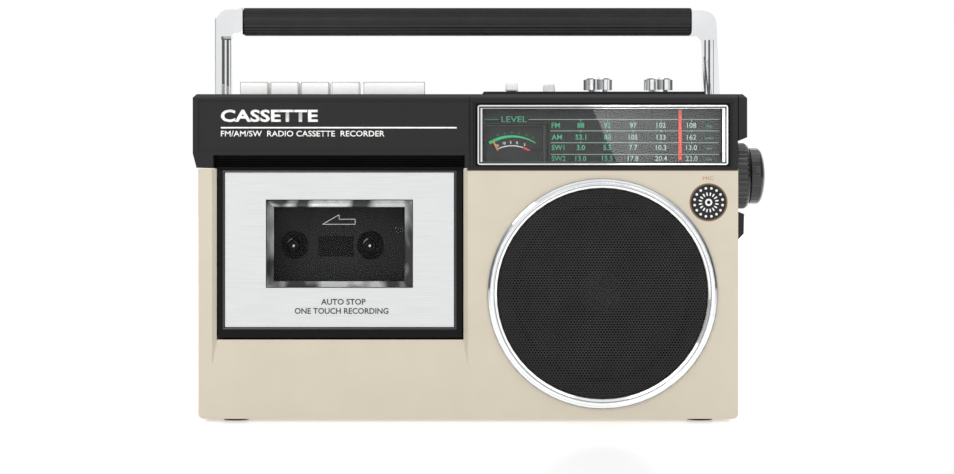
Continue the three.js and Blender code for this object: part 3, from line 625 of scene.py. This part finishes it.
def window_bevel(low, high, body):
    """The polished bevel round the window: four mitred strips with a thin inner lip."""
    back, front = 2.55, low[1] - 0.08
    inner = (low[0] + 4.2, low[2] + 3.4, high[0] - 4.2, high[2] - 3.8)
    outer = (low[0] + 0.1, low[2] + 0.1, high[0] - 0.1, high[2] - 0.1)

    def ring(box, depth):
        x0, z0, x1, z1 = box
        return [at(x0, depth, z0), at(x1, depth, z0), at(x1, depth, z1), at(x0, depth, z1)]

    lip = tuple(v + step for v, step in zip(inner, (-0.6, -0.6, 0.6, 0.6)))
    middle = tuple((a + b) / 2 for a, b in zip(inner, outer))
    rings = [
        ring(outer, back), ring(middle, (front + back) / 2 - 0.25),
        ring(lip, front), ring(inner, front + 0.1),
    ]
    verts = [v for r in rings for v in r]
    mesh = mesh_of("window_bevel", verts, ring_faces(len(rings)))
    obj = piece("window_bevel", mesh, WINDOW_RIM, body)
    thick = obj.modifiers.new("wall", "SOLIDIFY")
    thick.thickness = 0.05 * MM


def tape_well():
    """What shows behind the window: the panel between the hubs, a dark well round each hub, and
    the hub's bright tip and glint."""
    front = place_of("deck_plate")[0][1]
    hubs = [middle_of(f"{side}_spindle") for side in ("takeup", "supply")]
    middle = (hubs[0][0] + hubs[1][0]) / 2 + 2
    z = hubs[0][2]
    bar("reel_panel", middle - 10, middle + 10, z - 6.2, z + 5.4, front - 0.6, DEEP_BLACK, 0.5)
    well = [
        (0, 0.35), (6.6, 0.35), (6.9, 0.35), (7.1, 0.5),
        (7.2, 0.6), (7.6, 0.6), (7.8, 0.2), (7.8, -0.2),
    ]
    cap = [(0, 0.7), (0.6, 0.6), (0.9, 0.3), (1.0, 0)]
    for side, (x, _, height) in zip(("takeup", "supply"), hubs):
        spun(f"{side}_well", well, at(x, front, height), DEEP_BLACK)
        tip = place_of(f"{side}_spindle")[0][1]
        body = f"{side}_hub"
        spun(f"{body}_cap", cap, at(x, tip, height), CHROME, body, segments=20)
        glint = ((3.5, 3.5), (4.1, 4.1), -75, -20)
        arc_band(f"{body}_glint", (x, height), *glint, tip + 8, MIC_WHITE, body)


def perforated_grille():
    """The speaker's grille: a thin black sheet of staggered holes with brighter edges."""
    x, _, z = middle_of("speaker_grille")
    low, high = place_of("speaker_grille")
    depth, thickness = low[1], 0.7
    edge = (high[0] - low[0]) / 2
    # The holes' spacing and radius. Each hole sits in a hexagon of sheet.
    pitch, hole = 1.65, 0.56
    row_step = pitch * math.sqrt(3) / 2
    corner = pitch / math.sqrt(3)
    reach = edge - 0.2
    verts, faces = [], []
    rows = int(reach / row_step) + 1
    for row in range(-rows, rows + 1):
        shift = pitch / 2 if row % 2 else 0
        for column in range(-rows - 4, rows + 5):
            u, v = column * pitch + shift, row * row_step
            if math.hypot(u, v) > reach:
                continue
            base = len(verts)
            for radius, level in ((corner, 0), (hole, 0.06), (hole * 0.9, thickness)):
                for i in range(6):
                    angle = math.radians(60 * i + 30)
                    across, up = radius * math.cos(angle), radius * math.sin(angle)
                    verts.append(at(x + u + across, depth + level, z + v + up))
            for face in ring_faces(3, 6):
                faces.append(tuple(base + corner_index for corner_index in face))
    mesh = mesh_of("grille_sheet", verts, faces)
    obj = piece("grille_sheet", mesh, GRILLE)
    mesh.materials.append(HOLE_RIM)
    # The faces come in sixes: the sheet round a hole, then the hole's wall.
    for i, face in enumerate(mesh.polygons):
        face.material_index = i // 6 % 2
    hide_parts("speaker_grille")


def speaker_details():
    """A painted shadow line round the bright ring, a painted dark reflection line on it, the dust cap
    and the ribs pressed into the paper cone.
    """
    x, _, z = middle_of("speaker_ring")
    low, high = place_of("speaker_ring")
    outer = (high[0] - low[0]) / 2
    # Both grey rings are painted: a shadow just outside the ring and a dark reflection across it.
    lines = (("shadow_line", outer + 0.05, 0.35, -1.1), ("dark_reflection_line", outer - 3.4, 0.5, 0.12))
    for name, radius, width, rise in lines:
        inside = radius - width
        line = [(inside, rise - 0.1), (inside, rise), (radius, rise), (radius, rise - 0.1)]
        spun(f"speaker_ring_{name}", line, at(x, low[1], z), DARK_LINE_GREY, segments=96)
    x, _, z = middle_of("speaker_cone")
    cap = [(12.5, 0), (12.2, 1.2), (9, 3.6), (5, 5.0), (0, 5.4)]
    paper = {"body": "cone", "slot": "paper_cone"}
    spun("speaker_dust_cap", cap, at(x, 17.4, z), PAPER_CAP, segments=40, **paper)
    for i, radius in enumerate((24, 31, 38)):
        slope = (radius - 11) / 36
        depth = 17.6 - 14.6 * slope
        ridge = [(radius - 1, -0.4), (radius, 0.5), (radius + 1, 0.2)]
        spun(f"speaker_cone_ridge_{i}", ridge, at(x, depth, z), PAPER, segments=48, **paper)


def microphone_details():
    """Bright holes and slots in the black microphone cap, with a ringed centre and a painted shadow ring
    round it.
    """
    x, _, z = middle_of("mic_bezel")
    depth = place_of("mic_bezel")[0][1] + 0.35
    dot = [(0.74, -0.1), (0.7, 0.12), (0.5, 0.2), (0, 0.2)]
    slot = [(-0.3, 3.7), (0.3, 3.7), (0.42, 5.2), (0.2, 5.6), (-0.2, 5.6), (-0.42, 5.2)]
    count, ring = 16, 7.9
    for i in range(count):
        angle = 2 * math.pi * (i + 0.5) / count
        spot = at(x + ring * math.sin(angle), depth, z + ring * math.cos(angle))
        spun(f"mic_hole_{i:02d}", dot, spot, MIC_WHITE, segments=12)
        turn = Matrix.Rotation(-angle, 2)
        outline = [(x + p.x, z + p.y) for p in (turn @ Vector(corner) for corner in slot)]
        front_sheet(f"mic_slot_{i:02d}", outline, depth - 0.2, 0.2, MIC_WHITE)
    middle = at(x, depth, z)
    centre = [(2.1, -0.1), (2.0, 0.45), (1.7, 0.6), (1.1, 0.5), (0.9, 0.2)]
    spun("mic_centre_ring", centre, middle, MIC_WHITE, segments=28)
    spun("mic_centre_dot", [(0.85, 0), (0.7, 0.35), (0, 0.45)], middle, HUB_BLACK, segments=20)
    # The thin brown ring round the cap is a painted shadow.
    seat = [(9.7, -0.3), (9.75, 0.2), (10.1, 0.12), (10.6, 0.02)]
    spun("mic_shadow_ring", seat, at(x, 0, z), SHADOW_BROWN, segments=48)
    words("mic_label", "MIC", at(x - 0.2, -0.03, 135.2), 1.9, ORANGE_INK, 6)


def key_symbols():
    """Symbols on the keys' tops, grey lines round the keys' fronts that are painted shade, and the
    controls' words.
    """
    triangle = [(-1.6, -1.7), (1.6, 0), (-1.6, 1.7)]
    backward = [(-u, v) for u, v in triangle]
    square = [(-1.4, -1.4), (1.4, -1.4), (1.4, 1.4), (-1.4, 1.4)]
    turns = [math.radians(a) for a in range(0, 360, 20)]
    round_dot = [(1.7 * math.cos(a), 1.7 * math.sin(a)) for a in turns]
    eject_roof = [(-2, -0.3), (2, -0.3), (0, 2)]
    eject_line = [(-2, -1.5), (2, -1.5), (2, -0.9), (-2, -0.9)]
    symbols = {
        "record": [(0, round_dot)],
        "play": [(0, triangle)],
        "rewind": [(-1.7, backward), (1.7, backward)],
        "forward": [(-1.7, triangle), (1.7, triangle)],
        "stop_eject": [(-4, square), (4, eject_roof), (4, eject_line)],
    }
    symbol_depth = 26
    for key, shapes in symbols.items():
        low, high = place_of(f"key_{key}")
        centre_x = (low[0] + high[0]) / 2
        ink = RED_INK if key == "record" else GREY_INK
        for i, (offset, outline) in enumerate(shapes):
            x = centre_x + offset
            verts = [at(x + u, symbol_depth + v, high[2] + 0.03) for u, v in outline]
            mesh = mesh_of(f"key_mark_{key}_{i}", verts, [tuple(range(len(verts)))])
            obj = piece(f"key_mark_{key}_{i}", mesh, ink, f"{key}_key")
            thick = obj.modifiers.new("ink", "SOLIDIFY")
            thick.thickness = 0.04 * MM
            thick.offset = 0
        # The grey ring round each key's front is painted shade, standing in for the shading of its
        # bevels.
        edge = (low[0] + 0.05, low[2], high[0] - 0.05, high[2] - 0.15)
        face = low[1]
        profile = [(0, face + 0.25), (0.1, face - 0.04), (0.3, face - 0.04), (0.3, face + 0.1)]
        mitred_ring(f"key_shade_line_{key}", edge, profile, DARK_LINE_GREY, f"{key}_key")
    plateau = place_of("top_cover")[1][2]
    for name, text, node, gap in (
        ("volume", "VOLUME", "volume_knob", 12.5),
        ("tone", "TONE", "tone_knob", 12.5),
        ("function", "TAPE   RADIO", "function_switch_knob", 9),
        ("band", "FM  AM  SW1  SW2", "band_switch_knob", 9),
    ):
        x, depth, _ = middle_of(node)
        words(f"label_{name}", text, at(x, depth + gap, plateau + 0.03), 2.2, WHITE_INK, facing="top")


def knob_details():
    """A turned cap and a pointer line on each rotary knob."""
    cap = [(6.6, -0.3), (6.5, 0.15), (6.0, 0.35), (5.6, 0.2), (5.2, 0.32), (0, 0.36)]
    pointer = ((-0.35, -6), (0.35, -6), (0.35, -1.5), (-0.35, -1.5))
    for name in ("volume", "tone"):
        x, depth, _ = middle_of(f"{name}_knob")
        top = place_of(f"{name}_knob")[1][2]
        spun(f"{name}_knob_cap", cap, at(x, depth, top), CHROME, name, "+Z", 40)
        verts = [at(x + u, depth + v, top + 0.42) for u, v in pointer]
        plate(f"{name}_knob_line", verts, GREY_INK, 0.08, name)


def tuning_ridges():
    """Thin raised ridges along the fine tuning ring and the tuning knob, coloured a lighter grey as
    painted highlights.
    """
    for node, body, count, width, start, end in (
        ("fine_tuning_ring", "fine_ring", 36, 0.22, 8.1, 2.6),
        ("tuning_knob", "tuner", 18, 0.12, 8.6, 4.4),
    ):
        low, high = place_of(node)
        _, depth, height = middle_of(node)
        radius = (high[2] - low[2]) / 2 - 0.1
        foot, crest = radius - 0.3, radius + 0.12
        section = ((foot, -width), (crest, -width), (crest, width), (foot, width))
        verts, faces = [], []
        for i in range(count):
            angle = 2 * math.pi * i / count
            faces += closed_bar_faces(len(verts))
            for x in (high[0] - start, high[0] - end):
                for r, aside in section:
                    turn = angle + aside / radius
                    verts.append(at(x, depth + r * math.cos(turn), height + r * math.sin(turn)))
        piece(f"{body}_ridges", mesh_of(f"{body}_ridges", verts, faces), HIGHLIGHT_AND_SHADE_GREY, body)


def screw(name, place, facing, radius=3.0):
    """A pan-head screw in a shallow recess, with a cross slot drawn as two dark plates: painted shade.
    """
    head = [(radius, 0), (radius, 0.5), (radius * 0.8, 1.0), (radius * 0.4, 1.25), (0, 1.3)]
    spun(name, head, place, STEEL, facing=facing, segments=24, slot="steel")
    out = FACINGS[facing]
    side = Vector((1, 0, 0))
    up = out.cross(side)
    # The cross slot is two dark plates on the head: painted shade.
    for i, (run, across) in enumerate(((side, up), (up, side))):
        a, b = run * radius * 0.6 * MM, across * radius * 0.13 * MM
        lift = out * 1.33 * MM
        verts = [place + lift + a * s + b * t for s, t in ((-1, -1), (1, -1), (1, 1), (-1, 1))]
        plate(f"{name}_slot_{i}", verts, DEEP_BLACK, 0.1)


# How far the axis of the battery cells lies behind the cabinet's front.
CELL_DEPTH = 73


def rear_details():
    """Screws, ventilation slots drawn as dark plates of painted shade, and the battery contacts and
    springs.
    """
    rear = place_of("rear_cabinet")[1][1]
    recess = [(4.4, -0.05), (4.4, 0.12), (3.5, 0.14), (3.3, 0.02)]
    screws = ((-141, 12), (141, 12), (-141, 128), (141, 128), (4, 128), (4, 12))
    for i, (x, z) in enumerate(screws):
        spun(f"rear_screw_seat_{i}", recess, at(x, rear, z), BEIGE, facing="+Y", segments=28)
        screw(f"rear_screw_{i}", at(x, rear - 0.6, z), "+Y")
    low, high = place_of("battery_door")
    for row, (x, way) in enumerate(((low[0] + 1.2, 1), (high[0] - 1.2, -1))):
        z = low[2] + 17 + 35 * row
        battery_spring(f"battery_spring_{row}", x, z, way)
        plate_x = high[0] - 0.4 if row == 0 else low[0] + 0.4
        sheet = ((-8, -9), (10, -9), (10, 9), (-8, 9))
        verts = [at(plate_x, CELL_DEPTH + u, z + v) for u, v in sheet]
        plate(f"battery_contact_{row}", verts, STEEL, 0.5)
    # The vent slots are flat dark plates: painted shade where openings would be.
    for i in range(9):
        z = 92 + 4.5 * i
        outline = [(30, z), (92, z), (92, z + 1.6), (30, z + 1.6)]
        plate(f"rear_vent_shade_{i}", [at(-x, rear + 0.04, h) for x, h in outline], DEEP_BLACK, 0.1)


def battery_spring(name, x, z, way):
    """A conical contact spring that stands on the end wall of the battery compartment."""
    curve = bpy.data.curves.new(name, "CURVE")
    curve.dimensions = "3D"
    curve.bevel_depth = 0.5 * MM
    curve.bevel_resolution = 2
    turns, steps, length = 4, 18, 9
    line = curve.splines.new("POLY")
    line.points.add(turns * steps)
    for i in range(turns * steps + 1):
        share = i / (turns * steps)
        angle = 2 * math.pi * i / steps
        radius = 7.5 - 3.5 * share
        aside, up = radius * math.cos(angle), radius * math.sin(angle)
        spot = at(x + way * length * share, CELL_DEPTH + aside, z + up)
        line.points[i].co = (*spot, 1)
    obj = bpy.data.objects.new(name, curve)
    bpy.context.scene.collection.objects.link(obj)
    curve.materials.append(STEEL)
    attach(obj, BODY)


def mitred_ring(name, box, profile, material, body=BODY):
    """A rectangular moulding. The profile is (distance inside the box's edge, depth)."""
    x0, z0, x1, z1 = box
    verts = []
    for inset, depth in profile:
        left, right = x0 + inset, x1 - inset
        low, high = z0 + inset, z1 - inset
        corners = ((left, low), (right, low), (right, high), (left, high))
        verts += [at(x, depth, z) for x, z in corners]
    return piece(name, mesh_of(name, verts, ring_faces(len(profile))), material, body)


def front_mouldings():
    """Lips round the dial and the plate, ribs over the door and the cover's lower edge, with some
    painted shade, shadow and reflection.
    """
    low, high = place_of("dial_frame")
    edge = (low[0] - 2.6, low[2] - 2.2, high[0] + 2.6, high[2] + 2.6)
    face = low[1]
    mitred_ring("dial_lip", edge, [(0, 0.05), (0.5, -0.7), (0.9, -0.75), (1.2, -0.6)], BLACK)
    # The lip's inner slope is a deeper black than its outer slope: painted shade.
    mitred_ring("dial_lip_inside", edge, [(1.2, -0.6), (2.5, 0.02), (2.7, 0.02)], DEEP_BLACK)
    # The thin gloss black ring along the chrome frame is a painted dark reflection.
    frame_edge = (low[0], low[2], high[0], high[2])
    dark_reflection_line = [(0.75, face - 0.03), (0.85, face - 0.06), (1.55, face - 0.06), (1.65, face - 0.03)]
    mitred_ring("dial_frame_dark_reflection_line", frame_edge, dark_reflection_line, GLOSS_BLACK)
    low, high = place_of("door_plate")
    edge = (low[0] - 1.5, low[2] - 1.5, high[0] + 1.5, high[2] + 0.8)
    face = place_of("door_frame")[0][1]
    lip = [(0, face), (0.2, face - 0.45), (0.7, face - 0.6), (1.1, face - 0.45), (1.3, face)]
    mitred_ring("plate_lip", edge, lip, GLOSS_BLACK, "cassette_door")
    rib, top, bottom = 1.2, 147.9, 141.2
    # The ribs run across the opening above the door; their deep black is painted shade in that recess.
    left, right = -141.5, -2.1
    verts = []
    count = int((top - bottom) / rib * 2)
    for i in range(count + 1):
        depth = 6.85 - 0.35 * (i % 2)
        height = bottom + (top - bottom) * i / count
        verts += [at(left, depth, height), at(right, depth, height)]
    faces = [(2 * i, 2 * i + 1, 2 * i + 3, 2 * i + 2) for i in range(count)]
    piece("cover_ribs", mesh_of("cover_ribs", verts, faces), DEEP_BLACK)
    bar("door_gap_strip", left, right, 139.2, 141.4, 7.2, DEEP_BLACK, 0.3)
    bar("cover_seam", 0.5, 147, 139.8, 141.8, 2.75, DEEP_BLACK, 0.3)
    bar("cover_skirt", -0.6, 149.8, 139.7, 141.1, -0.25, BLACK, 0.35)
    bar("cover_skirt_shadow", -0.6, 149.8, 139.3, 139.8, -0.1, SHADOW_BROWN, 0.15)


def arm_ledges():
    """Thin raised ribs up the bevelled inner corner of each of the handle's arms; grey on the right arm,
    a painted dark reflection.
    """
    # The arms' inner faces stand this far from the cabinet's middle, and the bevel is this wide.
    inner, bevel = 135.6, 5.2
    front = place_of("handle_arm_left")[0][1]
    bottom, top = 178, place_of("handle_grip")[0][2] - 3
    ledges = ((0.3, 1.1), (2.3, 3.3), (4.8, 5.1))
    # The right arm's ribs are dull grey instead of chrome: painted dark reflection.
    for side, outward, material in (("left", -1, CHROME), ("right", 1, HIGHLIGHT_AND_SHADE_GREY)):
        for i, (start, end) in enumerate(ledges):
            verts = []
            section = ((start, 0), (start, end - start + 0.1), (end, 0.1), (end, 0))
            for z in (bottom, top):
                for along, rise in section:
                    verts.append(at(outward * (inner + along), front + bevel - along - rise, z))
            name = f"arm_ledge_{side}_{i}"
            piece(name, mesh_of(name, verts, closed_bar_faces()), material, "carrying_handle")


def handle_details():
    """Thin dark joints between the grip and the arms."""
    low, high = place_of("handle_grip")
    half_height = (high[2] - low[2]) / 2 - 0.2
    half_depth = (high[1] - low[1]) / 2 - 0.2
    _, depth, z = middle_of("handle_grip")
    count = 32
    for side, x in (("left", low[0]), ("right", high[0])):
        verts = []
        for end in (-0.35, 0.35):
            for i in range(count):
                angle = 2 * math.pi * i / count
                c, s = math.cos(angle), math.sin(angle)
                u = half_depth * math.copysign(abs(c) ** 0.5, c)
                v = half_height * math.copysign(abs(s) ** 0.5, s)
                verts.append(at(x + end, depth + u, z + v))
        name = f"handle_joint_{side}"
        piece(name, mesh_of(name, verts, ring_faces(2, count)), DEEP_BLACK, "carrying_handle")


# ---------------------------------------------------------------- the studio


def camera():
    """Stands in front of the object, a little left of its middle and at three fifths of its height."""
    data = bpy.data.cameras.new("camera")
    obj = bpy.data.objects.new("camera", data)
    bpy.context.scene.collection.objects.link(obj)
    obj.location = at(-14, -1250, 137)
    obj.rotation_euler = (math.radians(90), 0, 0)
    # A level camera whose lens is shifted, so that upright edges stay upright.
    data.sensor_width = 36
    data.lens = 84.9
    data.shift_x = 0.0356
    data.shift_y = -0.065
    data.clip_start, data.clip_end = 0.01, 50
    bpy.context.scene.camera = obj


def lamp(name, place, aim, size, power):
    data = bpy.data.lights.new(name, "AREA")
    data.shape = "RECTANGLE"
    data.size, data.size_y = size
    data.energy = power
    obj = bpy.data.objects.new(name, data)
    bpy.context.scene.collection.objects.link(obj)
    obj.location = place
    obj.rotation_euler = (aim - place).to_track_quat("-Z", "Y").to_euler()


def reflection_card():
    """A small bright card behind the camera, which the dial's lens mirrors with a slanted edge."""
    corners = ((159, 214), (330, 214), (330, 151), (188, 151))
    verts = [at(x, -1355, z) for x, z in corners]
    card = bpy.data.objects.new("lens_card", mesh_of("lens_card", verts, [(0, 1, 2, 3)]))
    bpy.context.scene.collection.objects.link(card)
    glow = Finish("lens_card", (0.9, 0.9, 0.9), 0.9, Emission_Color=(1, 1, 1, 1))
    fade = glow.node("ShaderNodeSeparateXYZ")
    glow.link(glow.coords, fade.inputs[0])
    across = glow.node("ShaderNodeMapRange")
    glow.link(fade.outputs["X"], across.inputs["Value"])
    left, right = verts[0].x, verts[1].x
    fading = (("From Min", left), ("From Max", right), ("To Min", 5.5), ("To Max", 1.2))
    for socket, value in fading:
        across.inputs[socket].default_value = value
    glow.link(across.outputs["Result"], glow.shader.inputs["Emission Strength"])
    card.data.materials.append(glow.material)


def studio():
    """A white floor, a soft white surround that is darker at the sides, and large soft lamps."""
    corners = [(-4, -4, 0), (4, -4, 0), (4, 6, 0), (-4, 6, 0)]
    floor = bpy.data.objects.new("floor", mesh_of("floor", corners, [(0, 1, 2, 3)]))
    bpy.context.scene.collection.objects.link(floor)
    white = Finish(
        "studio_floor", (0.9, 0.9, 0.9), 0.12,
        Specular_IOR_Level=0.35, Emission_Color=(1, 1, 1, 1), Emission_Strength=0.35,
    )
    white.vary_roughness(white.noise(3, 2), 0.02)
    floor.data.materials.append(white.material)

    world = bpy.data.worlds.new("surround")
    bpy.context.scene.world = world
    world.use_nodes = True
    tree = world.node_tree
    tree.nodes.clear()
    new = tree.nodes.new
    coords, split = new("ShaderNodeTexCoord"), new("ShaderNodeSeparateXYZ")
    side = new("ShaderNodeMath")
    side.operation = "ABSOLUTE"
    ramp = new("ShaderNodeValToRGB")
    stops = ramp.color_ramp.elements
    stops[0].position, stops[0].color = 0.40, (0.95, 0.95, 0.95, 1)
    stops[1].position, stops[1].color = 0.90, (0.12, 0.12, 0.12, 1)
    soft, plain = new("ShaderNodeBackground"), new("ShaderNodeBackground")
    plain.inputs["Color"].default_value = (1, 1, 1, 1)
    plain.inputs["Strength"].default_value = 1.0
    soft.inputs["Strength"].default_value = 1.08
    path, mix, out = new("ShaderNodeLightPath"), new("ShaderNodeMixShader"), new("ShaderNodeOutputWorld")
    join = tree.links.new
    join(coords.outputs["Generated"], split.inputs["Vector"])
    join(split.outputs["X"], side.inputs[0])
    join(side.outputs[0], ramp.inputs["Fac"])
    join(ramp.outputs["Color"], soft.inputs["Color"])
    join(path.outputs["Is Camera Ray"], mix.inputs["Fac"])
    join(soft.outputs[0], mix.inputs[1])
    join(plain.outputs[0], mix.inputs[2])
    join(mix.outputs[0], out.inputs["Surface"])

    target = at(0, 40, 110)
    lamp("key_lamp", at(-520, -900, 760), target, (0.9, 0.7), 4.2)
    lamp("fill_lamp", at(700, -800, 420), target, (0.6, 0.9), 1.4)
    lamp("top_lamp", at(0, 100, 1300), target, (1.6, 1.2), 5)
    lamp("rear_lamp", at(0, 1200, 700), target, (1.4, 0.8), 2.4)
    scene = bpy.context.scene
    scene.view_settings.view_transform = "Standard"
    scene.view_settings.look = "None"


for material, names in LOOKS.items():
    for node_name in names:
        finish_node(node_name, material, ROUNDED.get(node_name, 0))
fascia_print()
dial_print()
level_meter()
door_details()
tape_well()
perforated_grille()
speaker_details()
microphone_details()
key_symbols()
knob_details()
tuning_ridges()
rear_details()
front_mouldings()
arm_ledges()
handle_details()
camera()
reflection_card()
studio()
